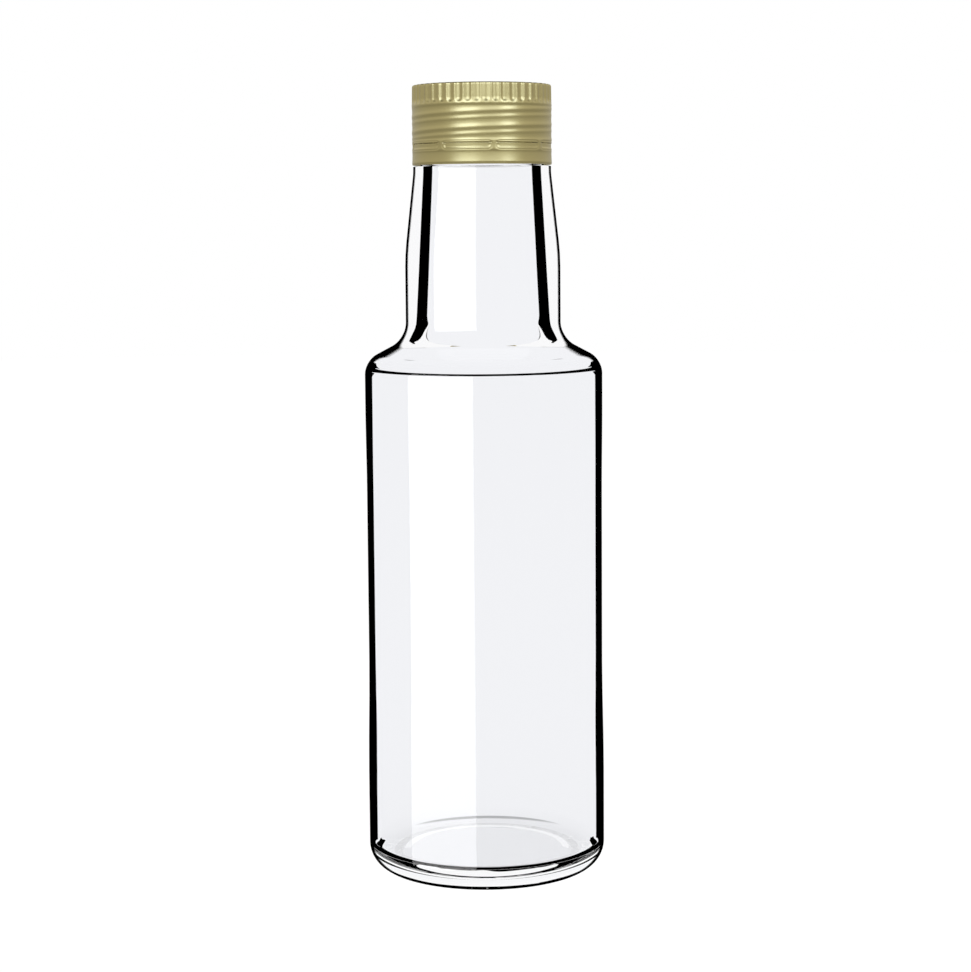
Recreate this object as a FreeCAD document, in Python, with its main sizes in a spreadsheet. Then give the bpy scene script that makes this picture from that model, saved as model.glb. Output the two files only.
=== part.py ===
import FreeCAD, Part
import math
import os
import Sketcher

# A clear glass bottle with a rolled-on aluminium closure, in millimetres.
# The bottle stands on the plane z = 0 with its axis on Z.

bottleSizes = [
    ("glassHeight", 181.0, "resting plane to the lip"),
    ("bodyDiameter", 55.1, "heel contact band, the widest place"),
    ("panelDepth", 0.35, "how far the label panel lies inside the heel band"),
    ("shoulderBandDepth", 0.2, "how far the shoulder band lies inside the heel band"),
    ("heelBandTop", 27.0, "top of the heel band, above the resting plane"),
    ("panelBottom", 45.0, "bottom of the label panel, above the resting plane"),
    ("panelTopDrop", 27.0, "shoulder corner down to the top of the label panel"),
    ("shoulderBandDrop", 13.0, "shoulder corner down to the bottom of its band"),
    ("bandBlendRadius", 400.0, "soft bends between bands and panel"),
    ("heelRadius", 6.0, "outside round at the heel"),
    ("shoulderRise", 5.1, "height that the shoulder slope gains"),
    ("shoulderRadius", 5.0, "outside round at the shoulder"),
    ("neckLength", 39.15, "top of the shoulder slope to the ledge under the cap"),
    ("neckDiameter", 35.6, "straight part of the neck"),
    ("neckRootRadius", 6.0, "outside hollow where the neck leaves the shoulder"),
    ("neckTaperLength", 18.5, "height of the tapered part of the neck"),
    ("neckBlendRadius", 50.0, "bend between the straight and the tapered neck"),
    ("collarHeight", 1.5, "straight ring between the taper and the ledge"),
    ("collarBlendRadius", 12.0, "bend between the taper and the collar"),
    ("ledgeRadius", 0.5, "round on the edge of the ledge"),
    ("beadLift", 1.6, "ledge to the locking bead"),
    ("beadHeight", 2.0, "height of the locking bead"),
    ("beadRadius", 0.7, "rounds on the locking bead"),
    ("lipRadius", 1.1, "outside round of the lip"),
    ("mouthRadius", 0.7, "inside round of the lip"),
    ("mouthDiameter", 22.7, "bore at the mouth"),
    ("neckWall", 4.7, "glass at the root of the neck"),
    ("bodyWall", 1.5, "glass at the label panel"),
    ("shoulderGlass", 1.8, "glass at the shoulder slope, measured upright"),
    ("innerStepDrop", 2.25, "shoulder corner down to the small step in the wall inside"),
    ("innerStepWidth", 0.4, "how far that step leads inwards"),
    ("innerStepRise", 0.35, "height of that step"),
    ("innerStepRadius", 0.3, "rounds of that step"),
    ("innerShoulderInset", 0.7, "wall inwards to the inside corner of the shoulder"),
    ("innerShoulderRadius", 2.6, "inside round at the shoulder"),
    ("innerNeckRadius", 9.0, "round where the bore opens into the shoulder"),
    ("innerHeelRadius", 1.8, "inside round between wall and floor"),
    ("floorHeight", 5.4, "floor at the wall, above the resting plane"),
    ("floorCrown", 0.35, "rise of the floor towards the middle"),
    ("floorFlatRadius", 8.0, "where the floor starts to fall"),
    ("floorBlendRadius", 60.0, "bend of the floor"),
    ("ringWidth", 2.0, "flat ring that the bottle stands on"),
    ("pushUpHeight", 0.7, "hollow of the base at the middle"),
    ("pushUpEdgeHeight", 0.5, "hollow of the base beside the ring"),
    ("pushUpEdgeWidth", 2.0, "width of the slope from the ring into the hollow"),
    ("pushUpFlatRadius", 8.0, "level middle of the hollow"),
    ("pushUpBlendRadius", 40.0, "bend of the hollow"),
    ("pushUpEdgeRadius", 3.0, "bend between that slope and the hollow"),
]

capSizes = [
    ("capDiameter", 31.9, "outside of the cap"),
    ("capHeight", 18.0, "rim to the top of the cap"),
    ("capSheet", 0.45, "metal of the skirt and the top panel"),
    ("capTopRadius", 0.5, "round between top and skirt"),
    ("capRimRadius", 0.3, "round at the rim"),
    ("capOverhang", 0.2, "how far the cap stands out past the collar"),
    ("capRimGap", 0.3, "clearance between the rim and the ledge"),
    ("beadClearance", 0.25, "clearance between the locking bead and the skirt"),
    ("threadRoom", 1.2, "room for the thread between the finish and the cap"),
    ("threadInset", 0.25, "how far the thread zone lies inside crown and band"),
    ("stepRadius", 0.15, "rounds where crown and band meet the thread zone"),
    ("crownDepth", 4.75, "top of the cap to the bottom of the crown"),
    ("bandDrop", 12.75, "top of the cap to the top of the tamper band"),
    ("fluteCount", 48, "flutes around the crown"),
    ("fluteRadius", 0.75, "radius of one flute"),
    ("fluteEndRadius", 0.6, "round at the ends of a flute"),
    ("fluteDepth", 0.3, "how deep a flute cuts into the crown"),
    ("fluteTop", 0.6, "top of the cap to the top of a flute"),
    ("fluteBottom", 4.4, "top of the cap to the bottom of a flute"),
    ("bridgeCount", 8, "bridges that hold the tamper band"),
    ("bridgeAngle", 5.0, "width of one bridge, in degrees"),
    ("slitDrop", 13.35, "top of the cap to the middle of the slit line"),
    ("slitHeight", 0.3, "height of a slit"),
    ("dentAngle", 38.0, "width of one dent in the tamper band, in degrees"),
    ("dentHeight", 1.1, "height of a dent, below its slit"),
    ("dentDepth", 0.2, "how far a dent is pressed in"),
    ("capTurn", -12.7, "turn of the cap about the bottle's axis, in degrees"),
]

# Levels and radii that follow from the sizes above.
ledgeLevel = "(Sizes.glassHeight + Sizes.capSheet - Sizes.capHeight - Sizes.capRimGap)"
slopeTop = f"({ledgeLevel} - Sizes.neckLength)"
shoulderCorner = f"({slopeTop} - Sizes.shoulderRise)"
taperTop = f"({ledgeLevel} - Sizes.collarHeight)"
bandRadius = "(Sizes.bodyDiameter / 2)"
panelRadius = f"({bandRadius} - Sizes.panelDepth)"
shoulderBandRadius = f"({bandRadius} - Sizes.shoulderBandDepth)"
cavityRadius = f"({panelRadius} - Sizes.bodyWall)"
neckRadius = "(Sizes.neckDiameter / 2)"
ringInnerRadius = f"({bandRadius} - Sizes.heelRadius - Sizes.ringWidth)"
collarRadius = "(Sizes.capDiameter / 2 - Sizes.capOverhang)"
capRadius = "(Sizes.capDiameter / 2)"
threadZoneRadius = f"({capRadius} - Sizes.threadInset)"
capInnerRadius = f"({threadZoneRadius} - Sizes.capSheet)"
bandInnerRadius = f"({capRadius} - Sizes.capSheet)"
beadOuterRadius = f"({bandInnerRadius} - Sizes.beadClearance)"
finishRadius = f"({capInnerRadius} - Sizes.threadRoom)"
beadBottom = f"({ledgeLevel} + Sizes.beadLift)"

# The inside of the shoulder runs parallel to its outside slope.
slopeSteepness = f"(Sizes.shoulderRise / ({shoulderBandRadius} - {neckRadius}))"
boreRootRadius = f"({neckRadius} - Sizes.neckWall)"
innerSlopeBase = f"({shoulderCorner} - Sizes.shoulderGlass)"
innerCornerRadius = f"({cavityRadius} - Sizes.innerShoulderInset)"
innerCorner = f"({innerSlopeBase} + ({shoulderBandRadius} - {innerCornerRadius}) * {slopeSteepness})"
innerStep = f"({shoulderCorner} - Sizes.innerStepDrop)"
boreRoot = f"({innerSlopeBase} + ({shoulderBandRadius} - {boreRootRadius}) * {slopeSteepness})"


def makeSheet(doc, sizes):
    sheet = doc.addObject("Spreadsheet::Sheet", "Sizes")
    for row, (alias, size, meaning) in enumerate(sizes, start=1):
        sheet.set(f"A{row}", meaning)
        sheet.set(f"B{row}", str(size))
        sheet.setAlias(f"B{row}", alias)
    doc.recompute()
    return sheet


def originItem(body, role):
    return next(item for item in body.Origin.OriginFeatures if item.Role == role)


def uprightSketch(body, name, across="0"):
    """A sketch on the XZ plane, with its own upright axis this far across."""
    sketch = body.newObject("Sketcher::SketchObject", name)
    sketch.AttachmentSupport = [(originItem(body, "XZ_Plane"), "")]
    sketch.MapMode = "FlatFace"
    sketch.setExpression(".AttachmentOffset.Base.x", across)
    return sketch


def cornerRound(before, corner, after, radius):
    """Start, end and centre of the arc that rounds one corner of an outline."""
    back = (before - corner).normalize()
    ahead = (after - corner).normalize()
    halfAngle = back.getAngle(ahead) / 2
    reach = radius / math.tan(halfAngle)
    centre = corner + (back + ahead).normalize() * (radius / math.sin(halfAngle))
    return corner + back * reach, corner + ahead * reach, centre


def drawOutline(sketch, corners):
    """Draws a closed outline. Each corner is (name, x, z, radius), as expressions."""
    points = []
    for _, across, up, _ in corners:
        points.append(FreeCAD.Vector(sketch.evalExpression(across), sketch.evalExpression(up), 0))
    starts = []
    ends = []
    arcs = {}
    for index, (name, _, _, radius) in enumerate(corners):
        if radius is None:
            starts.append(points[index])
            ends.append(points[index])
            continue
        before = points[index - 1]
        after = points[(index + 1) % len(points)]
        start, end, centre = cornerRound(before, points[index], after, sketch.evalExpression(radius))
        starts.append(start)
        ends.append(end)
        turnsLeft = (points[index] - before).cross(after - points[index]).z > 0
        first, last = (start, end) if turnsLeft else (end, start)
        firstAngle = math.atan2(first.y - centre.y, first.x - centre.x)
        lastAngle = math.atan2(last.y - centre.y, last.x - centre.x)
        circle = Part.Circle(centre, FreeCAD.Vector(0, 0, 1), (start - centre).Length)
        arc = sketch.addGeometry(Part.ArcOfCircle(circle, firstAngle, lastAngle), False)
        arcs[index] = (arc, 1 if turnsLeft else 2, 2 if turnsLeft else 1)
    lines = []
    for index in range(len(corners)):
        following = (index + 1) % len(corners)
        lines.append(sketch.addGeometry(Part.LineSegment(ends[index], starts[following]), False))
    bindOutline(sketch, corners, points, lines, arcs)


def bindOutline(sketch, corners, points, lines, arcs):
    constraints = []
    bindings = []

    def bind(kind, geometry, vertex, name, expression):
        amount = sketch.evalExpression(expression)
        if abs(amount) < 1e-9:
            axis = -2 if kind == "DistanceX" else -1
            constraints.append(Sketcher.Constraint("PointOnObject", geometry, vertex, axis))
            return
        constraint = Sketcher.Constraint(kind, geometry, vertex, amount)
        constraint.Name = name
        constraints.append(constraint)
        bindings.append((name, expression))

    for index, (name, across, up, radius) in enumerate(corners):
        lineIn = lines[index - 1]
        lineOut = lines[index]
        if radius is None:
            constraints.append(Sketcher.Constraint("Coincident", lineIn, 2, lineOut, 1))
            bind("DistanceX", lineOut, 1, name + "X", across)
            bind("DistanceY", lineOut, 1, name + "Z", up)
            continue
        arc, vertexIn, vertexOut = arcs[index]
        corner = sketch.addGeometry(Part.Point(points[index]), True)
        constraints.append(Sketcher.Constraint("Tangent", lineIn, 2, arc, vertexIn))
        constraints.append(Sketcher.Constraint("Tangent", lineOut, 1, arc, vertexOut))
        constraints.append(Sketcher.Constraint("PointOnObject", corner, 1, lineIn))
        constraints.append(Sketcher.Constraint("PointOnObject", corner, 1, lineOut))
        bind("DistanceX", corner, 1, name + "X", across)
        bind("DistanceY", corner, 1, name + "Z", up)
        constraint = Sketcher.Constraint("Radius", arc, sketch.evalExpression(radius))
        constraint.Name = name + "Radius"
        constraints.append(constraint)
        bindings.append((constraint.Name, radius))
    sketch.addConstraint(constraints)
    for name, expression in bindings:
        sketch.setExpression("Constraints." + name, expression)


def turnedFeature(body, kind, name, sketch, angle="360"):
    feature = body.newObject("PartDesign::" + kind, name)
    feature.Profile = sketch
    feature.ReferenceAxis = (sketch, ["V_Axis"])
    feature.Midplane = True
    feature.setExpression("Angle", angle)
    return feature


def repeatAround(body, name, features, count):
    pattern = body.newObject("PartDesign::PolarPattern", name)
    pattern.Originals = features
    pattern.Axis = (originItem(body, "Z_Axis"), [""])
    pattern.Angle = 360
    pattern.setExpression("Occurrences", count)
    body.Tip = pattern
    return pattern


def circleEdges(shape, radius, level):
    """Names of the full circles of one radius at one level about the Z axis."""
    names = []
    for number, edge in enumerate(shape.Edges, start=1):
        curve = edge.Curve
        if not isinstance(curve, Part.Circle):
            continue
        if abs(curve.Radius - radius) < 1e-4 and abs(curve.Center.z - level) < 1e-4:
            names.append(f"Edge{number}")
    return names


def checkCut(name, before, after):
    if after.Shape.Volume >= before.Shape.Volume:
        raise ValueError(f"nothing was cut for the {name}")


def sizeOf(doc, alias):
    return doc.getObject("Sizes").get(alias)


def makeBottle(doc):
    body = doc.addObject("PartDesign::Body", "GlassBottle")
    body.Label = "glass_bottle"

    # Outside: base hollow, standing ring, heel, bands and panel, shoulder, neck and finish.
    outside = uprightSketch(body, "OutsideOutline")
    drawOutline(outside, [
        ("hollowMiddle", "0", "Sizes.pushUpHeight", None),
        ("hollowBend", "Sizes.pushUpFlatRadius", "Sizes.pushUpHeight", "Sizes.pushUpBlendRadius"),
        ("hollowEdge", f"{ringInnerRadius} - Sizes.pushUpEdgeWidth", "Sizes.pushUpEdgeHeight",
         "Sizes.pushUpEdgeRadius"),
        ("ringInner", ringInnerRadius, "0", None),
        ("heel", bandRadius, "0", "Sizes.heelRadius"),
        ("heelBand", bandRadius, "Sizes.heelBandTop", "Sizes.bandBlendRadius"),
        ("panelLow", panelRadius, "Sizes.panelBottom", "Sizes.bandBlendRadius"),
        ("panelHigh", panelRadius, f"{shoulderCorner} - Sizes.panelTopDrop", "Sizes.bandBlendRadius"),
        ("shoulderBand", shoulderBandRadius, f"{shoulderCorner} - Sizes.shoulderBandDrop",
         "Sizes.bandBlendRadius"),
        ("shoulder", shoulderBandRadius, shoulderCorner, "Sizes.shoulderRadius"),
        ("neckRoot", neckRadius, slopeTop, "Sizes.neckRootRadius"),
        ("taperLow", neckRadius, f"{taperTop} - Sizes.neckTaperLength", "Sizes.neckBlendRadius"),
        ("taperHigh", collarRadius, taperTop, "Sizes.collarBlendRadius"),
        ("ledgeEdge", collarRadius, ledgeLevel, "Sizes.ledgeRadius"),
        ("finishFoot", finishRadius, ledgeLevel, None),
        ("beadFoot", finishRadius, beadBottom, None),
        ("beadLow", beadOuterRadius, beadBottom, "Sizes.beadRadius"),
        ("beadHigh", beadOuterRadius, f"{beadBottom} + Sizes.beadHeight", "Sizes.beadRadius"),
        ("beadTop", finishRadius, f"{beadBottom} + Sizes.beadHeight", None),
        ("lip", finishRadius, "Sizes.glassHeight", "Sizes.lipRadius"),
        ("lipMiddle", "0", "Sizes.glassHeight", None),
    ])
    blank = turnedFeature(body, "Revolution", "Blank", outside)
    doc.recompute()

    # Inside: floor, wall with its small step, shoulder, tapered bore and mouth.
    inside = uprightSketch(body, "CavityOutline")
    above = "Sizes.glassHeight + Sizes.lipRadius"
    drawOutline(inside, [
        ("floorMiddle", "0", "Sizes.floorHeight + Sizes.floorCrown", None),
        ("floorBend", "Sizes.floorFlatRadius", "Sizes.floorHeight + Sizes.floorCrown",
         "Sizes.floorBlendRadius"),
        ("floorEdge", cavityRadius, "Sizes.floorHeight", "Sizes.innerHeelRadius"),
        ("stepLow", cavityRadius, innerStep, "Sizes.innerStepRadius"),
        ("stepHigh", f"{cavityRadius} - Sizes.innerStepWidth", f"{innerStep} + Sizes.innerStepRise",
         "Sizes.innerStepRadius"),
        ("innerShoulder", innerCornerRadius, innerCorner, "Sizes.innerShoulderRadius"),
        ("boreRoot", boreRootRadius, boreRoot, "Sizes.innerNeckRadius"),
        ("boreTop", "Sizes.mouthDiameter / 2", taperTop, None),
        ("mouth", "Sizes.mouthDiameter / 2", above, None),
        ("mouthMiddle", "0", above, None),
    ])
    cavity = turnedFeature(body, "Groove", "Cavity", inside)
    doc.recompute()
    checkCut("cavity", blank, cavity)

    mouth = body.newObject("PartDesign::Fillet", "MouthRound")
    mouthEdges = circleEdges(cavity.Shape, sizeOf(doc, "mouthDiameter") / 2, sizeOf(doc, "glassHeight"))
    mouth.Base = (cavity, mouthEdges)
    mouth.setExpression("Radius", "Sizes.mouthRadius")
    body.Tip = mouth
    return body


def makeCap(doc):
    # The cap's own origin is on its axis, at the underside of the top panel, where it
    # seats on the lip.
    body = doc.addObject("PartDesign::Body", "ScrewCap")
    body.Label = "screw_cap"
    rim = "(Sizes.capSheet - Sizes.capHeight)"
    crownBottom = "(Sizes.capSheet - Sizes.crownDepth)"
    bandTop = "(Sizes.capSheet - Sizes.bandDrop)"

    # A drawn shell: top panel, crown, thread zone set in a little, tamper band and rim.
    shellOutline = uprightSketch(body, "ShellOutline")
    drawOutline(shellOutline, [
        ("panelMiddle", "0", "Sizes.capSheet", None),
        ("underMiddle", "0", "0", None),
        ("underEdge", capInnerRadius, "0", None),
        ("zoneInner", capInnerRadius, bandTop, None),
        ("bandInner", bandInnerRadius, bandTop, None),
        ("rimInner", bandInnerRadius, rim, None),
        ("rimOuter", capRadius, rim, "Sizes.capRimRadius"),
        ("bandOuter", capRadius, bandTop, "Sizes.stepRadius"),
        ("zoneLow", threadZoneRadius, f"{bandTop} + Sizes.threadInset", "Sizes.stepRadius"),
        ("zoneHigh", threadZoneRadius, f"{crownBottom} - Sizes.threadInset", "Sizes.stepRadius"),
        ("crownOuter", capRadius, crownBottom, "Sizes.stepRadius"),
        ("crownEdge", capRadius, "Sizes.capSheet", "Sizes.capTopRadius"),
    ])
    shell = turnedFeature(body, "Revolution", "Shell", shellOutline)
    doc.recompute()

    # One flute is a round-ended groove turned about its own upright axis, which stands
    # just outside the crown.
    flute = uprightSketch(body, "FluteOutline", f"{capRadius} - Sizes.fluteDepth + Sizes.fluteRadius")
    fluteTop = "Sizes.capSheet - Sizes.fluteTop"
    fluteBottom = "Sizes.capSheet - Sizes.fluteBottom"
    drawOutline(flute, [
        ("axisHigh", "0", fluteTop, None),
        ("wallHigh", "-Sizes.fluteRadius", fluteTop, "Sizes.fluteEndRadius"),
        ("wallLow", "-Sizes.fluteRadius", fluteBottom, "Sizes.fluteEndRadius"),
        ("axisLow", "0", fluteBottom, None),
    ])
    fluteCut = turnedFeature(body, "Groove", "Flute", flute)
    flutes = repeatAround(body, "Flutes", [fluteCut], "Sizes.fluteCount")
    doc.recompute()
    checkCut("flutes", shell, flutes)

    # The tamper band hangs on bridges between slits, with a dent pressed in under each slit.
    slit = uprightSketch(body, "SlitOutline")
    slitMiddle = "(Sizes.capSheet - Sizes.slitDrop)"
    slitHigh = f"({slitMiddle} + Sizes.slitHeight / 2)"
    slitLow = f"({slitMiddle} - Sizes.slitHeight / 2)"
    pastInside = f"{bandInnerRadius} - Sizes.capSheet"
    pastOutside = f"{capRadius} + Sizes.capSheet"
    drawOutline(slit, [
        ("innerHigh", pastInside, slitHigh, None),
        ("innerLow", pastInside, slitLow, None),
        ("outerLow", pastOutside, slitLow, None),
        ("outerHigh", pastOutside, slitHigh, None),
    ])
    slitAngle = "360 / Sizes.bridgeCount - Sizes.bridgeAngle"
    slitCut = turnedFeature(body, "Groove", "Slit", slit, slitAngle)
    dent = uprightSketch(body, "DentOutline")
    dentWall = f"{capRadius} - Sizes.dentDepth"
    dentLow = f"{slitLow} - Sizes.dentHeight"
    drawOutline(dent, [
        ("innerHigh", dentWall, slitMiddle, None),
        ("innerLow", dentWall, f"{dentLow} + Sizes.dentDepth", None),
        ("outerLow", f"{capRadius} + Sizes.dentDepth", f"{dentLow} - Sizes.dentDepth", None),
        ("outerHigh", f"{capRadius} + Sizes.dentDepth", slitMiddle, None),
    ])
    dentCut = turnedFeature(body, "Groove", "Dent", dent, "Sizes.dentAngle")
    band = repeatAround(body, "TamperBand", [slitCut, dentCut], "Sizes.bridgeCount")
    doc.recompute()
    checkCut("slits", flutes, band)

    body.setExpression(".Placement.Base.z", "Sizes.glassHeight")
    body.Placement.Rotation = FreeCAD.Rotation(FreeCAD.Vector(0, 0, 1), sizeOf(doc, "capTurn"))
    return body


def checkDocument(doc, bodies):
    for item in doc.Objects:
        if "Invalid" in item.State or "Error" in item.State:
            raise ValueError(f"{item.Name} failed: {item.State}")
    for body in bodies:
        if body.Shape.isNull() or not body.Shape.isValid():
            raise ValueError(f"{body.Label} has no valid shape")
        if len(body.Shape.Solids) != 1:
            raise ValueError(f"{body.Label} is not one solid")


doc = FreeCAD.newDocument("Bottle")
makeSheet(doc, bottleSizes + capSizes)
bodies = [makeBottle(doc), makeCap(doc)]
doc.recompute()
checkDocument(doc, bodies)
os.makedirs("parts", exist_ok=True)
for body in bodies:
    body.Shape.exportStep(f"parts/{body.Label}.step")
    box = body.Shape.optimalBoundingBox()
    print(f"{body.Label}: {body.Shape.Volume:.0f} mm3, from z {box.ZMin:.2f} to {box.ZMax:.2f}")
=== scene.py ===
import math
import bmesh
import bpy
from mathutils import Matrix, Vector


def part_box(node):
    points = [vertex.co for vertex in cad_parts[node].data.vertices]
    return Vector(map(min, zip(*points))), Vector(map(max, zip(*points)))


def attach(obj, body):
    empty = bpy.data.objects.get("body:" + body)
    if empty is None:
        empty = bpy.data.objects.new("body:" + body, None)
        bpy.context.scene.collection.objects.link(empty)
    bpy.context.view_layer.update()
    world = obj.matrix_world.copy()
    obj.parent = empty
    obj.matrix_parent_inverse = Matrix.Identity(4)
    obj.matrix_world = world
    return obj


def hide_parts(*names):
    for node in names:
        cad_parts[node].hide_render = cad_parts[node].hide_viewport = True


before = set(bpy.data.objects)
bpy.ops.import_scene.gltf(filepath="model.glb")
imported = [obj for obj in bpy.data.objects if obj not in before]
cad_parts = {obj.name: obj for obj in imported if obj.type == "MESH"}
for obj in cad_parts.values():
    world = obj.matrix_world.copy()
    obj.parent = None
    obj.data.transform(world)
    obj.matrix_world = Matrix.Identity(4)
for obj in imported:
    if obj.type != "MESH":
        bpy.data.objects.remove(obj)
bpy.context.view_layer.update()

mm = 0.001
weldDistance = 0.0005  # mm, for points that a full turn leaves on top of each other


# Shared steps for turned pieces and for node trees.

def roundedWire(corners, arcStep, longest):
    # A wire through the corners (across, up, round), its corners turned into true arcs.
    bm = bmesh.new()
    verts = [bm.verts.new((across, 0, up)) for across, up, radius in corners]
    for first, second in zip(verts, verts[1:]):
        bm.edges.new((first, second))
    for index, (across, up, radius) in enumerate(corners):
        if not radius:
            continue
        here = Vector((across, up))
        back = Vector(corners[index - 1][:2]) - here
        ahead = Vector(corners[index + 1][:2]) - here
        turn = math.pi - back.angle(ahead)
        bmesh.ops.bevel(bm, geom=[verts[index]], offset=radius * math.tan(turn / 2),
                        offset_type='OFFSET', segments=max(2, round(turn / arcStep)),
                        profile=0.5, affect='VERTICES', material=-1)
    splitLong(bm, longest)
    return bm


def splitLong(bm, longest, low=-math.inf, high=math.inf):
    # Cuts the edges whose middle lies between two heights into parts no longer than asked.
    for edge in bm.edges[:]:
        middle = (edge.verts[0].co.z + edge.verts[1].co.z) / 2
        cuts = math.ceil(edge.calc_length() / longest) - 1
        if cuts > 0 and low < middle < high:
            bmesh.ops.subdivide_edges(bm, edges=[edge], cuts=cuts)


def turnAround(bm, steps):
    bmesh.ops.spin(bm, geom=bm.verts[:] + bm.edges[:], cent=(0, 0, 0), axis=(0, 0, 1),
                   angle=math.tau, steps=steps, use_merge=True)
    bmesh.ops.remove_doubles(bm, verts=bm.verts[:], dist=weldDistance)
    bmesh.ops.recalc_face_normals(bm, faces=bm.faces[:])


def finishedPiece(bm, name, material):
    bmesh.ops.scale(bm, vec=(mm, mm, mm), verts=bm.verts[:])
    mesh = bpy.data.meshes.new(name)
    bm.to_mesh(mesh)
    bm.free()
    mesh.polygons.foreach_set("use_smooth", [True] * len(mesh.polygons))
    mesh.materials.append(material)
    piece = bpy.data.objects.new(name, mesh)
    bpy.context.collection.objects.link(piece)
    return piece


def newMaterial(name):
    material = bpy.data.materials.new(name)
    material.use_nodes = True
    nodes = material.node_tree.nodes
    nodes.clear()
    return material, nodes, material.node_tree.links


def mathNode(nodes, links, operation, first, second):
    node = nodes.new('ShaderNodeMath')
    node.operation = operation
    for socket, value in zip(node.inputs, (first, second)):
        if isinstance(value, (int, float)):
            socket.default_value = value
        else:
            links.new(value, socket)
    return node.outputs[0]


def atLeastOne(nodes, links, count):
    # 1 where a ray's count is one or more, otherwise 0.
    return mathNode(nodes, links, 'GREATER_THAN', count, 0.5)


def fadeIn(nodes, links, value, low, high):
    # 0 up to low, 1 from high on, and a soft step between them.
    node = nodes.new('ShaderNodeMapRange')
    node.interpolation_type = 'SMOOTHSTEP'
    links.new(value, node.inputs['Value'])
    node.inputs['From Min'].default_value = low
    node.inputs['From Max'].default_value = high
    return node.outputs[0]


def fadeOut(nodes, links, value, low, high):
    return mathNode(nodes, links, 'SUBTRACT', 1, fadeIn(nodes, links, value, low, high))


def lengthNode(nodes, links, vector):
    node = nodes.new('ShaderNodeVectorMath')
    node.operation = 'LENGTH'
    links.new(vector, node.inputs[0])
    return node.outputs['Value']


def rampNode(nodes, links, value, rows):
    # A colour for each value, from rows of a value and its colour, lowest first.
    low, high = rows[0][0], rows[-1][0]
    reach = nodes.new('ShaderNodeMapRange')
    links.new(value, reach.inputs['Value'])
    reach.inputs['From Min'].default_value = low
    reach.inputs['From Max'].default_value = high
    ramp = nodes.new('ShaderNodeValToRGB')
    links.new(reach.outputs[0], ramp.inputs[0])
    stops = ramp.color_ramp.elements
    for index, (place, colour) in enumerate(rows):
        stop = stops[index] if index < 2 else stops.new(1)
        stop.position = (place - low) / (high - low)
        stop.color = (*colour, 1)
    return ramp.outputs[0]


def mixColour(nodes, links, factor, first, second):
    # Each side is a colour, a grey level or a socket.
    node = nodes.new('ShaderNodeMix')
    node.data_type = 'RGBA'
    links.new(factor, node.inputs['Factor'])
    for socket, value in zip((node.inputs['A'], node.inputs['B']), (first, second)):
        if isinstance(value, tuple):
            socket.default_value = value + (1,)
        elif isinstance(value, (int, float)):
            socket.default_value = (value, value, value, 1)
        else:
            links.new(value, socket)
    return node.outputs['Result']


def finishMaterial(nodes, links, shader):
    output = nodes.new('ShaderNodeOutputMaterial')
    links.new(shader, output.inputs['Surface'])


# The camera looks a little down at the bottle from half a metre away.

view = {"distance": 0.5458, "height": 0.1503, "across": 0.00025, "tilt": 6.34, "roll": -0.42,
        "lens": 87.67, "nearest": 0.05, "farthest": 20.0}
camera = bpy.data.objects.new("camera", bpy.data.cameras.new("camera"))
bpy.context.collection.objects.link(camera)
camera.data.lens = view["lens"]
camera.data.clip_start = view["nearest"]
camera.data.clip_end = view["farthest"]
camera.matrix_world = (Matrix.Translation((view["across"], -view["distance"], view["height"]))
                       @ Matrix.Rotation(math.radians(90 - view["tilt"]), 4, 'X')
                       @ Matrix.Rotation(math.radians(view["roll"]), 4, 'Z'))
bpy.context.scene.camera = camera
print("camera set")


# The studio is white for direct views and for views through glass. Only shiny metal and the
# floor see a softer, slightly warm surround.

studio = {
    "floorRadius": 2.2, "floorSides": 96, "floorColour": 0.85, "floorGlow": 0.965, "glassGlow": 0.787,
    "floorShade": 0.2, "contactRadius": 0.031, "contactFade": 0.004, "paintedShadowDepth": 0.45,
    "contactAngle": 46.0, "contactBefore": 0.06, "contactAfter": 0.03,
}
surroundTint = (1.04, 0.98, 0.8)
# Level by how far a direction points up: -1 is straight down, 1 straight up.
surround = [(-1.0, 0.5), (-0.5, 0.45), (-0.25, 0.26), (-0.05, 0.32), (0.08, 0.48), (0.25, 0.62),
            (0.45, 0.55), (0.6, 0.2), (1.0, 0.06)]


def straightView(nodes, links):
    # Direct views and views through glass, whether bent or turned aside by a glass wall.
    path = nodes.new('ShaderNodeLightPath')
    inGlass = atLeastOne(nodes, links, path.outputs['Transmission Depth'])
    return mathNode(nodes, links, 'MAXIMUM', path.outputs['Is Camera Ray'], inGlass), path


def makeWorld():
    world = bpy.data.worlds.new("studio")
    bpy.context.scene.world = world
    world.use_nodes = True
    nodes, links = world.node_tree.nodes, world.node_tree.links
    nodes.clear()
    straight, path = straightView(nodes, links)
    split = nodes.new('ShaderNodeSeparateXYZ')
    links.new(nodes.new('ShaderNodeTexCoord').outputs['Generated'], split.inputs[0])
    rows = [(up, [level * part for part in surroundTint]) for up, level in surround]
    around = rampNode(nodes, links, split.outputs['Z'], rows)
    rest = mixColour(nodes, links, path.outputs['Is Singular Ray'], around, 0)
    background = nodes.new('ShaderNodeBackground')
    links.new(mixColour(nodes, links, straight, rest, 1), background.inputs['Color'])
    output = nodes.new('ShaderNodeOutputWorld')
    links.new(background.outputs[0], output.inputs[0])


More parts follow.
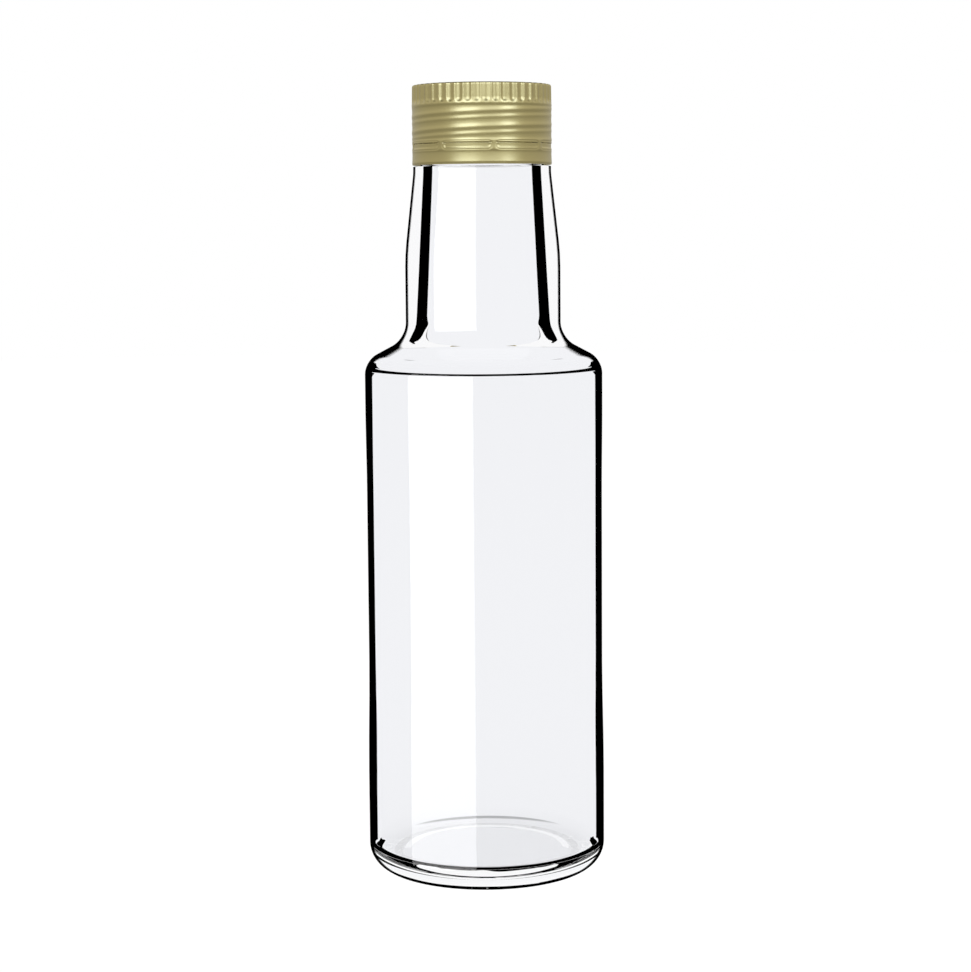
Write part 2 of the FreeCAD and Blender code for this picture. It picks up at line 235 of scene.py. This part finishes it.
def makeFloor():
    look = studio
    bm = bmesh.new()
    bmesh.ops.create_circle(bm, cap_ends=True, segments=look["floorSides"], radius=look["floorRadius"])
    mesh = bpy.data.meshes.new("floor")
    bm.to_mesh(mesh)
    bm.free()
    material, nodes, links = newMaterial("pale floor")
    straight, path = straightView(nodes, links)
    throughGlass = mathNode(nodes, links, 'SUBTRACT', straight, path.outputs['Is Camera Ray'])
    # Steep views through the base meet a painted shadow on the floor close under the bottle, where its
    # glow drops.
    place = nodes.new('ShaderNodeTexCoord').outputs['Object']
    near = fadeOut(nodes, links, lengthNode(nodes, links, place), look["contactRadius"],
                   look["contactRadius"] + look["contactFade"])
    steepest = 1 - math.sin(math.radians(look["contactAngle"]))
    steep = fadeOut(nodes, links, nodes.new('ShaderNodeLayerWeight').outputs['Facing'],
                    steepest - look["contactBefore"], steepest + look["contactAfter"])
    paintedContactShadow = mathNode(nodes, links, 'MULTIPLY', mathNode(nodes, links, 'MULTIPLY', near, throughGlass),
                       mathNode(nodes, links, 'MULTIPLY', steep, look["paintedShadowDepth"]))
    direct = mathNode(nodes, links, 'MULTIPLY', path.outputs['Is Camera Ray'], look["floorGlow"])
    behind = mathNode(nodes, links, 'MULTIPLY', throughGlass,
                      mathNode(nodes, links, 'SUBTRACT', look["glassGlow"], paintedContactShadow))
    glow = nodes.new('ShaderNodeEmission')
    glow.inputs['Color'].default_value = (1, 1, 1, 1)
    links.new(mathNode(nodes, links, 'ADD', direct, behind), glow.inputs['Strength'])
    diffuse = nodes.new('ShaderNodeBsdfDiffuse')
    links.new(mixColour(nodes, links, straight, look["floorColour"], look["floorShade"]),
              diffuse.inputs['Color'])
    both = nodes.new('ShaderNodeAddShader')
    links.new(glow.outputs[0], both.inputs[0])
    links.new(diffuse.outputs[0], both.inputs[1])
    finishMaterial(nodes, links, both.outputs[0])
    mesh.materials.append(material)
    floor = bpy.data.objects.new("floor", mesh)
    floor.visible_glossy = False
    bpy.context.collection.objects.link(floor)
    return floor


makeWorld()
floor = makeFloor()
bpy.context.scene.view_settings.view_transform = 'Standard'
print("studio set")


# The glass bottle, one turned wall with an outside and an inside.

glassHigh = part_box("glass_bottle")[1]
capLow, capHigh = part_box("screw_cap")
capTop = capHigh.z / mm
capRim = capLow.z / mm
capRadius = capHigh.x / mm

bottle = {
    "panelDepth": 0.35, "shoulderBandDepth": 0.2, "heelBandTop": 27.0, "panelBottom": 45.0,
    "panelTopDrop": 27.0, "shoulderBandDrop": 13.0, "bandBlend": 400.0, "heelRound": 6.0,
    "shoulderRise": 5.1, "shoulderRound": 5.0, "neckLength": 39.15, "neckRadius": 17.8,
    "neckRootRound": 6.0, "taperLength": 18.5, "neckBlend": 50.0, "collarHeight": 1.5,
    "collarBlend": 12.0, "ledgeRound": 0.15, "beadLift": 1.6, "beadHeight": 2.0, "beadRound": 0.7,
    "lipRound": 1.1, "mouthRound": 0.7, "mouthRadius": 11.35, "boreBlend": 60.0, "neckWall": 4.7,
    "bodyWall": 1.5, "shoulderGlass": 1.8, "stepDrop": 2.25, "stepWidth": 0.8, "stepRise": 0.35,
    "stepRound": 0.3, "innerShoulderInset": 0.7, "innerShoulderRound": 2.6, "innerNeckRound": 9.0,
    "innerHeelRound": 1.8, "floorHeight": 5.4, "floorCrown": 0.35, "floorFlat": 8.0,
    "floorBlend": 60.0, "ringWidth": 2.0, "hollowHeight": 0.7, "hollowEdgeHeight": 0.5,
    "hollowEdgeWidth": 2.0, "hollowFlat": 8.0, "hollowBlend": 40.0, "hollowEdgeRound": 3.0,
    "smallRound": 0.3, "rimGap": 0.3, "capOverhang": 0.2, "finishInset": 1.9, "beadInset": 0.7,
    "stepsRound": 256, "arcStep": 6.0, "longest": 3.0,
}


def bottleCorners():
    b = bottle
    band = glassHigh.x / mm
    lip = glassHigh.z / mm
    ledge = capRim - b["rimGap"]
    slopeTop = ledge - b["neckLength"]
    shoulder = slopeTop - b["shoulderRise"]
    taperTop = ledge - b["collarHeight"]
    panel = band - b["panelDepth"]
    upperBand = band - b["shoulderBandDepth"]
    cavity = panel - b["bodyWall"]
    neck = b["neckRadius"]
    ring = band - b["heelRound"] - b["ringWidth"]
    collar = capRadius - b["capOverhang"]
    finish = capRadius - b["finishInset"]
    bead = capRadius - b["beadInset"]
    beadLow = ledge + b["beadLift"]
    steepness = b["shoulderRise"] / (upperBand - neck)
    boreRoot = neck - b["neckWall"]
    innerCorner = cavity - b["innerShoulderInset"]
    slopeBase = shoulder - b["shoulderGlass"]
    step = shoulder - b["stepDrop"]
    floorEdge = b["floorHeight"]
    crown = floorEdge + b["floorCrown"]
    outside = [
        (0, b["hollowHeight"], 0),
        (b["hollowFlat"], b["hollowHeight"], b["hollowBlend"]),
        (ring - b["hollowEdgeWidth"], b["hollowEdgeHeight"], b["hollowEdgeRound"]),
        (ring, 0, b["smallRound"]),
        (band, 0, b["heelRound"]),
        (band, b["heelBandTop"], b["bandBlend"]),
        (panel, b["panelBottom"], b["bandBlend"]),
        (panel, shoulder - b["panelTopDrop"], b["bandBlend"]),
        (upperBand, shoulder - b["shoulderBandDrop"], b["bandBlend"]),
        (upperBand, shoulder, b["shoulderRound"]),
        (neck, slopeTop, b["neckRootRound"]),
        (neck, taperTop - b["taperLength"], b["neckBlend"]),
        (collar, taperTop, b["collarBlend"]),
        (collar, ledge, b["ledgeRound"]),
        (finish, ledge, b["smallRound"]),
        (finish, beadLow, b["smallRound"]),
        (bead, beadLow, b["beadRound"]),
        (bead, beadLow + b["beadHeight"], b["beadRound"]),
        (finish, beadLow + b["beadHeight"], b["smallRound"]),
        (finish, lip, b["lipRound"]),
    ]
    inside = [
        (b["mouthRadius"], lip, b["mouthRound"]),
        (b["mouthRadius"], taperTop, b["boreBlend"]),
        (boreRoot, slopeBase + (upperBand - boreRoot) * steepness, b["innerNeckRound"]),
        (innerCorner, slopeBase + (upperBand - innerCorner) * steepness, b["innerShoulderRound"]),
        (cavity - b["stepWidth"], step + b["stepRise"], b["stepRound"]),
        (cavity, step, b["stepRound"]),
        (cavity, floorEdge, b["innerHeelRound"]),
        (b["floorFlat"], crown, b["floorBlend"]),
        (0, crown, 0),
    ]
    return outside + inside


glassLook = {
    "ior": 1.47, "tint": (0.978, 0.98, 0.987), "mirror": 0.028, "paintedRimFrom": 0.71, "paintedRimTo": 0.78,
    "trappedFrom": 0.97, "waveFrom": 0.0065, "waveTo": 0.0085, "waveScale": 110.0, "waveLift": 0.2,
    "stippleFrom": 0.0006, "stippleTo": 0.0014, "stippleScale": 700.0, "stippleLift": 0.2,
    "ringFrom": 0.0192, "ringTo": 0.0197, "noiseDetail": 1,
}

# Where light meets the inside of the glass too flat to leave it, the wall turns it aside. At these
# angles the glass is painted dark, a painted shade standing in for black flags that the scene doesn't
# have: height in mm, and from what angle to what angle.
heelPaintedDark = [(0, 70, 90), (0.3, 70, 90), (0.34, 60, 90), (0.56, 60, 90), (0.6, 74, 80), (0.95, 74, 80),
             (1.0, 90, 90), (1.7, 90, 90), (1.75, 40, 60), (5.2, 40, 60), (5.3, 60, 82), (5.55, 60, 82),
             (5.6, 50, 80.5), (5.95, 50, 80.5), (6.05, 40, 90), (10.0, 40, 90)]
neckPaintedDark = [(116.0, 40, 90), (118.0, 40, 90), (118.1, 90, 90), (122.15, 90, 90), (122.2, 48.5, 48.6),
             (122.65, 48, 49.4), (123.1, 46.3, 49.3), (123.6, 45.3, 49.5), (124.4, 44.6, 50.2),
             (125.8, 44.3, 51.7), (127.3, 43.5, 53.7), (130.0, 40, 53.7)]


def facingOf(angle):
    return 1 - math.cos(math.radians(angle))


def paintedDarkAngles(nodes, links, height, darkRows):
    # The painted dark angles at a height, as facing values.
    rows = [(up * mm, (facingOf(low), facingOf(high), 0)) for up, low, high in darkRows]
    split = nodes.new('ShaderNodeSeparateColor')
    links.new(rampNode(nodes, links, height, rows), split.inputs[0])
    return split.outputs[0], split.outputs[1]


def glassRelief(nodes, links, position, height, side):
    # Slow waves inside the heel, and the fine stipple that the bottle stands on.
    look = glassLook
    masks = {
        "wave": mathNode(nodes, links, 'MULTIPLY', side,
                         fadeOut(nodes, links, height, look["waveFrom"], look["waveTo"])),
        "stipple": mathNode(nodes, links, 'MULTIPLY',
                            fadeIn(nodes, links, lengthNode(nodes, links, position),
                                   look["ringFrom"], look["ringTo"]),
                            fadeOut(nodes, links, height, look["stippleFrom"], look["stippleTo"])),
    }
    reliefs = []
    for name, mask in masks.items():
        noise = nodes.new('ShaderNodeTexNoise')
        noise.inputs['Scale'].default_value = look[name + "Scale"]
        noise.inputs['Detail'].default_value = look["noiseDetail"]
        links.new(position, noise.inputs['Vector'])
        lift = mathNode(nodes, links, 'MULTIPLY', noise.outputs[0], look[name + "Lift"] * mm)
        reliefs.append(mathNode(nodes, links, 'MULTIPLY', lift, mask))
    bump = nodes.new('ShaderNodeBump')
    bump.inputs['Distance'].default_value = 1
    links.new(mathNode(nodes, links, 'ADD', *reliefs), bump.inputs['Height'])
    return bump.outputs[0]


def clearOfPaintedDark(nodes, links, height, facing):
    # 1 where light that the wall turns aside stays bright, 0 where the glass is painted dark.
    heelLow, heelHigh = paintedDarkAngles(nodes, links, height, heelPaintedDark)
    neckLow, neckHigh = paintedDarkAngles(nodes, links, height, neckPaintedDark)
    low = mathNode(nodes, links, 'MAXIMUM', heelLow, neckLow)
    high = mathNode(nodes, links, 'MINIMUM', heelHigh, neckHigh)
    return mathNode(nodes, links, 'MAXIMUM', mathNode(nodes, links, 'LESS_THAN', facing, low),
                    mathNode(nodes, links, 'GREATER_THAN', facing, high))


def clearGlass():
    # Bends light and mirrors a little outside. Inside it mirrors only where light can't leave the glass,
    # except at the painted dark angles; its outline is painted dark too.
    look = glassLook
    material, nodes, links = newMaterial("clear glass")
    side = nodes.new('ShaderNodeNewGeometry').outputs['Backfacing']
    position = nodes.new('ShaderNodeTexCoord').outputs['Object']
    split = nodes.new('ShaderNodeSeparateXYZ')
    links.new(position, split.inputs[0])
    height = split.outputs['Z']
    relief = glassRelief(nodes, links, position, height, side)
    layer = nodes.new('ShaderNodeLayerWeight')
    links.new(relief, layer.inputs['Normal'])
    facing = layer.outputs['Facing']
    path = nodes.new('ShaderNodeLightPath')
    inGlass = atLeastOne(nodes, links, path.outputs['Transmission Depth'])
    # Where a view first meets the glass, it mirrors a little, and its colour is painted dark towards its
    # outline: a painted shade for a dark rim.
    outside = mathNode(nodes, links, 'SUBTRACT', 1, mathNode(nodes, links, 'MAXIMUM', side, inGlass))
    edge = mathNode(nodes, links, 'MULTIPLY', outside,
                    fadeIn(nodes, links, facing, look["paintedRimFrom"], look["paintedRimTo"]))
    bend = nodes.new('ShaderNodeBsdfRefraction')
    links.new(relief, bend.inputs['Normal'])
    links.new(mixColour(nodes, links, edge, look["tint"], 0), bend.inputs['Color'])
    bend.inputs['Roughness'].default_value = 0
    bend.inputs['IOR'].default_value = look["ior"]
    mirror = nodes.new('ShaderNodeBsdfGlossy')
    mirror.inputs['Color'].default_value = (1, 1, 1, 1)
    mirror.inputs['Roughness'].default_value = 0
    fresnel = nodes.new('ShaderNodeFresnel')
    fresnel.inputs['IOR'].default_value = look["ior"]
    links.new(relief, fresnel.inputs['Normal'])
    trapped = mathNode(nodes, links, 'GREATER_THAN', fresnel.outputs[0], look["trappedFrom"])
    # Inside the painted dark angles the wall doesn't mirror, so trapped light turns black: painted
    # shade.
    inner = mathNode(nodes, links, 'MULTIPLY', mathNode(nodes, links, 'MULTIPLY', trapped, side),
                     clearOfPaintedDark(nodes, links, height, facing))
    outer = mathNode(nodes, links, 'MULTIPLY', outside, look["mirror"])
    glass = nodes.new('ShaderNodeMixShader')
    links.new(mathNode(nodes, links, 'MAXIMUM', inner, outer), glass.inputs[0])
    links.new(bend.outputs[0], glass.inputs[1])
    links.new(mirror.outputs[0], glass.inputs[2])
    # Light that a wall has turned aside leaves straight, and shadows pass.
    reflected = atLeastOne(nodes, links, path.outputs['Glossy Depth'])
    turned = mathNode(nodes, links, 'MULTIPLY', reflected, inGlass)
    passing = mathNode(nodes, links, 'MAXIMUM', path.outputs['Is Shadow Ray'], turned)
    mix = nodes.new('ShaderNodeMixShader')
    links.new(passing, mix.inputs[0])
    links.new(glass.outputs[0], mix.inputs[1])
    links.new(nodes.new('ShaderNodeBsdfTransparent').outputs[0], mix.inputs[2])
    finishMaterial(nodes, links, mix.outputs[0])
    return material


bm = roundedWire(bottleCorners(), math.radians(bottle["arcStep"]), bottle["longest"])
turnAround(bm, bottle["stepsRound"])
glassPiece = finishedPiece(bm, "bottle_glass", clearGlass())
glassPiece.modifiers.new("even shading", 'WEIGHTED_NORMAL')
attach(glassPiece, "root")
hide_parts("glass_bottle")
print("glass made:", len(glassPiece.data.polygons), "faces")


# The screw cap, turned from thin sheet and then pressed into its relief.

cap = {
    "sheet": 0.22, "topRound": 0.35, "panelDip": 0.1, "panelEdge": 13.0, "panelLift": 0.8,
    "panelRound": 3.0, "flutes": 48, "fluteHalf": 0.86, "fluteDepth": 0.28, "fluteTop": -0.15,
    "fluteTopFade": 0.3, "fluteBottom": 4.3, "fluteBlend": 0.03, "columnsPerFlute": 10,
    "crownInset": 0.05, "crownTaper": 0.05, "crownFrom": 4.15, "crownTo": 4.6,
    "threadPitch": 3.5, "threadStart": 8.7, "threadTop": 4.65, "threadEnd": 12.8, "threadFade": 0.4,
    "threadDepth": 0.09, "wideCrest": 0.32, "wideHalf": 0.13, "wideHeight": 0.09,
    "thinCrest": 0.73, "thinHalf": 0.09, "thinHeight": 0.06,
    "bridges": 8, "bridgeTurn": 9.8, "bridgeAngle": 5.0, "slitTop": 13.25, "slitBottom": 13.36,
    "dentTop": 13.05, "dentBottom": 14.6, "dentGap": 1.3, "dentDepth": 0.15, "dentEdge": 0.38,
    "lipDepth": 0.07, "lipHalf": 0.16, "lipGap": 0.17,
    "waistDepth": 0.08, "waistTop": 14.7, "waistMiddle": 15.4, "waistEnd": 17.5,
    "rimTaper": 0.5, "rimTuck": 0.08, "rimRound": 0.6, "rimCurl": 0.45, "rimEdgeRound": 0.1,
    "arcStep": 18.0, "panelLongest": 3.0, "longest": 0.3, "pocketLongest": 0.15, "pocketLead": 0.3,
}

goldLook = {
    "colour": (0.62, 0.54, 0.22), "roughness": 0.34, "roughnessVaries": 0.02, "grain": 0.006,
    "grainScale": 900.0, "grainDetail": 2, "lacquer": 1.0, "lacquerRoughness": 0.24, "lacquerIor": 2.1,
}


def goldAluminium():
    # Gold-lacquered aluminium with the fine grain of rolled sheet.
    look = goldLook
    material, nodes, links = newMaterial("gold aluminium")
    metal = nodes.new('ShaderNodeBsdfPrincipled')
    metal.inputs['Base Color'].default_value = look["colour"] + (1,)
    metal.inputs['Metallic'].default_value = 1
    metal.inputs['Coat Weight'].default_value = look["lacquer"]
    metal.inputs['Coat Roughness'].default_value = look["lacquerRoughness"]
    metal.inputs['Coat IOR'].default_value = look["lacquerIor"]
    coords = nodes.new('ShaderNodeTexCoord')
    grain = nodes.new('ShaderNodeTexNoise')
    grain.inputs['Scale'].default_value = look["grainScale"]
    grain.inputs['Detail'].default_value = look["grainDetail"]
    links.new(coords.outputs['Object'], grain.inputs['Vector'])
    spread = nodes.new('ShaderNodeMapRange')
    spread.inputs['To Min'].default_value = look["roughness"] - look["roughnessVaries"]
    spread.inputs['To Max'].default_value = look["roughness"] + look["roughnessVaries"]
    links.new(grain.outputs[0], spread.inputs['Value'])
    links.new(spread.outputs[0], metal.inputs['Roughness'])
    bump = nodes.new('ShaderNodeBump')
    bump.inputs['Strength'].default_value = look["grain"]
    bump.inputs['Distance'].default_value = mm
    links.new(grain.outputs[0], bump.inputs['Height'])
    links.new(bump.outputs[0], metal.inputs['Normal'])
    finishMaterial(nodes, links, metal.outputs[0])
    return material


def smoothStep(low, high, value):
    share = min(1, max(0, (value - low) / (high - low)))
    return share * share * (3 - 2 * share)


def capCorners():
    c = cap
    return [
        (0, capTop - c["panelDip"], 0),
        (c["panelEdge"], capTop - c["panelDip"], c["panelRound"]),
        (c["panelEdge"] + c["panelLift"], capTop, c["panelRound"]),
        (capRadius, capTop, c["topRound"]),
        (capRadius, capTop - c["slitTop"], 0),
        (capRadius, capTop - c["slitBottom"], 0),
        (capRadius, capRim + c["rimTaper"], c["rimRound"]),
        (capRadius - c["rimTuck"], capRim, c["rimEdgeRound"]),
        (capRadius - c["rimCurl"], capRim, 0),
    ]


def fluteInset(depth, turn):
    # Wide hollow flutes with narrow lands between, open at the top and round at the bottom.
    c = cap
    pitch = math.tau / c["flutes"]
    aside = ((turn / pitch) % 1 - 0.5) * pitch * capRadius
    half = c["fluteHalf"]
    left = min(c["fluteBottom"] - depth, half)
    if left <= 0:
        return 0
    bend = (half ** 2 + c["fluteDepth"] ** 2) / (2 * c["fluteDepth"])
    narrow = math.sqrt(half ** 2 - (half - left) ** 2)
    cut = math.sqrt(bend ** 2 - aside ** 2) - math.sqrt(bend ** 2 - narrow ** 2)
    share = smoothStep(c["fluteTop"], c["fluteTop"] + c["fluteTopFade"], depth)
    return share * (cut + math.sqrt(cut ** 2 + c["fluteBlend"] ** 2)) / 2


def crownInset(depth):
    # The crown stands back a little and widens downwards, and a small step ends it.
    c = cap
    taper = c["crownTaper"] * max(0, 1 - depth / c["crownFrom"])
    return taper + c["crownInset"] * (1 - smoothStep(c["crownFrom"], c["crownTo"], depth))


def hump(value, middle, half):
    return math.exp(-((value - middle) / half) ** 2)


def threadInset(depth, turn):
    # The rolled thread climbs to the right, with one wide and one thin crest in each turn.
    c = cap
    share = smoothStep(c["threadTop"], c["threadTop"] + c["threadFade"], depth)
    share *= 1 - smoothStep(c["threadEnd"] - c["threadFade"], c["threadEnd"], depth)
    climb = ((depth - c["threadStart"]) / c["threadPitch"] + turn / math.tau) % 1
    crest = c["wideHeight"] * hump(climb, c["wideCrest"], c["wideHalf"])
    crest += c["thinHeight"] * hump(climb, c["thinCrest"], c["thinHalf"])
    return share * (c["threadDepth"] - crest)


def dentInset(depth, turn):
    # The tamper band is pressed in along each slit, from one bridge nearly to the next, and a
    # fine hollow runs round each pressed place.
    c = cap
    sector = math.tau / c["bridges"]
    fromMiddle = abs((turn / sector) % 1 - 0.5) * sector * capRadius
    halfTall = (c["dentBottom"] - c["dentTop"]) / 2
    halfLong = sector * capRadius / 2 - c["dentGap"] / 2
    across = max(0, fromMiddle - (halfLong - halfTall))
    down = depth - (c["dentBottom"] + c["dentTop"]) / 2
    edge = halfTall - math.hypot(across, down)
    press = c["dentDepth"] * smoothStep(0, c["dentEdge"], edge)
    return press + c["lipDepth"] * hump(edge, -c["lipGap"], c["lipHalf"])


def waistInset(depth):
    # Under the slits the skirt draws in a little and opens again towards its rim.
    c = cap
    if depth < c["waistMiddle"]:
        return c["waistDepth"] * smoothStep(c["waistTop"], c["waistMiddle"], depth)
    down = min(1, (depth - c["waistMiddle"]) / (c["waistEnd"] - c["waistMiddle"]))
    return c["waistDepth"] * (1 - down ** 2)


def bridgeAngleOf(point):
    # Counted from the first bridge, which stands a little to the right of the front.
    return math.atan2(point.x, -point.y) - math.radians(cap["bridgeTurn"])


def pressRelief(bm):
    # Draws in each point of the skirt and its top edge. The panel inside that edge stays flat.
    skirt = capRadius - 2 * cap["topRound"]
    for vert in bm.verts:
        radius = math.hypot(vert.co.x, vert.co.y)
        if radius < skirt:
            continue
        depth = capTop - vert.co.z
        turn = math.atan2(vert.co.x, -vert.co.y)
        inset = fluteInset(depth, turn) + crownInset(depth) + threadInset(depth, turn)
        inset += dentInset(depth, bridgeAngleOf(vert.co)) + waistInset(depth)
        share = (radius - inset) / radius
        vert.co.x *= share
        vert.co.y *= share


def cutSlits(bm):
    c = cap
    sector = math.tau / c["bridges"]
    halfBridge = math.radians(c["bridgeAngle"] / 2)
    slit = []
    for face in bm.faces:
        middle = face.calc_center_median()
        fromBridge = abs((bridgeAngleOf(middle) / sector + 0.5) % 1 - 0.5) * sector
        if c["slitTop"] < capTop - middle.z < c["slitBottom"] and fromBridge > halfBridge:
            slit.append(face)
    bmesh.ops.delete(bm, geom=slit, context='FACES')


bm = roundedWire(capCorners(), math.radians(cap["arcStep"]), cap["panelLongest"])
splitLong(bm, cap["longest"], high=capTop - cap["topRound"])
splitLong(bm, cap["pocketLongest"], capTop - cap["waistMiddle"],
          capTop - cap["threadEnd"] + cap["pocketLead"])
turnAround(bm, cap["flutes"] * cap["columnsPerFlute"])
pressRelief(bm)
cutSlits(bm)
capPiece = finishedPiece(bm, "cap_gold", goldAluminium())
wall = capPiece.modifiers.new("sheet", 'SOLIDIFY')
wall.thickness = cap["sheet"] * mm
wall.offset = -1
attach(capPiece, "root")
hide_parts("screw_cap")
print("cap made:", len(capPiece.data.polygons), "faces")


# Lamps. The large key shows only in the glass, and the cap and the floor have their own.

lamps = {
    "key": {"azimuth": -43.5, "height": 0.1, "width": 1.19, "tall": 0.9, "power": 15.0,
            "colour": (1, 1, 1), "lights": ["glass"]},
    "cap front": {"azimuth": 0, "height": 0.56, "width": 2.2, "tall": 0.56, "power": 3.2,
                  "colour": (0.77, 0.86, 1), "lights": ["cap"]},
    "cap left": {"azimuth": -24, "height": 0.56, "width": 0.6, "tall": 0.56, "power": 1.5,
                 "colour": (0.77, 0.86, 1), "lights": ["cap"]},
    "cap right": {"azimuth": 46, "height": 0.56, "width": 0.4, "tall": 0.56, "power": 1.1,
                  "colour": (0.77, 0.86, 1), "lights": ["cap"]},
    "floor fill": {"azimuth": -30, "height": 1.2, "width": 0.8, "tall": 0.8, "power": 2.0,
                   "colour": (1, 1, 1), "lights": ["floor"]},
}
lampDistance = 0.9
litPieces = {"glass": glassPiece, "cap": capPiece, "floor": floor}


def addLamp(name, settings):
    # Azimuth counts from the front (-Y) towards +X. A lamp above the cap looks down at its top.
    lamp = bpy.data.lights.new(name, 'AREA')
    lamp.shape = 'RECTANGLE'
    lamp.size = settings["width"]
    lamp.size_y = settings["tall"]
    lamp.energy = settings["power"]
    lamp.color = settings["colour"]
    item = bpy.data.objects.new(name, lamp)
    angle = math.radians(settings["azimuth"])
    item.location = (math.sin(angle) * lampDistance, -math.cos(angle) * lampDistance, settings["height"])
    aim = Vector((0, 0, min(settings["height"], capHigh.z))) - item.location
    item.rotation_euler = aim.to_track_quat('-Z', 'Y').to_euler()
    item.visible_transmission = False
    bpy.context.collection.objects.link(item)
    receivers = bpy.data.collections.new(name + " receivers")
    for piece in settings["lights"]:
        receivers.objects.link(litPieces[piece])
    item.light_linking.receiver_collection = receivers


for name, settings in lamps.items():
    addLamp(name, settings)
print("lamps set")
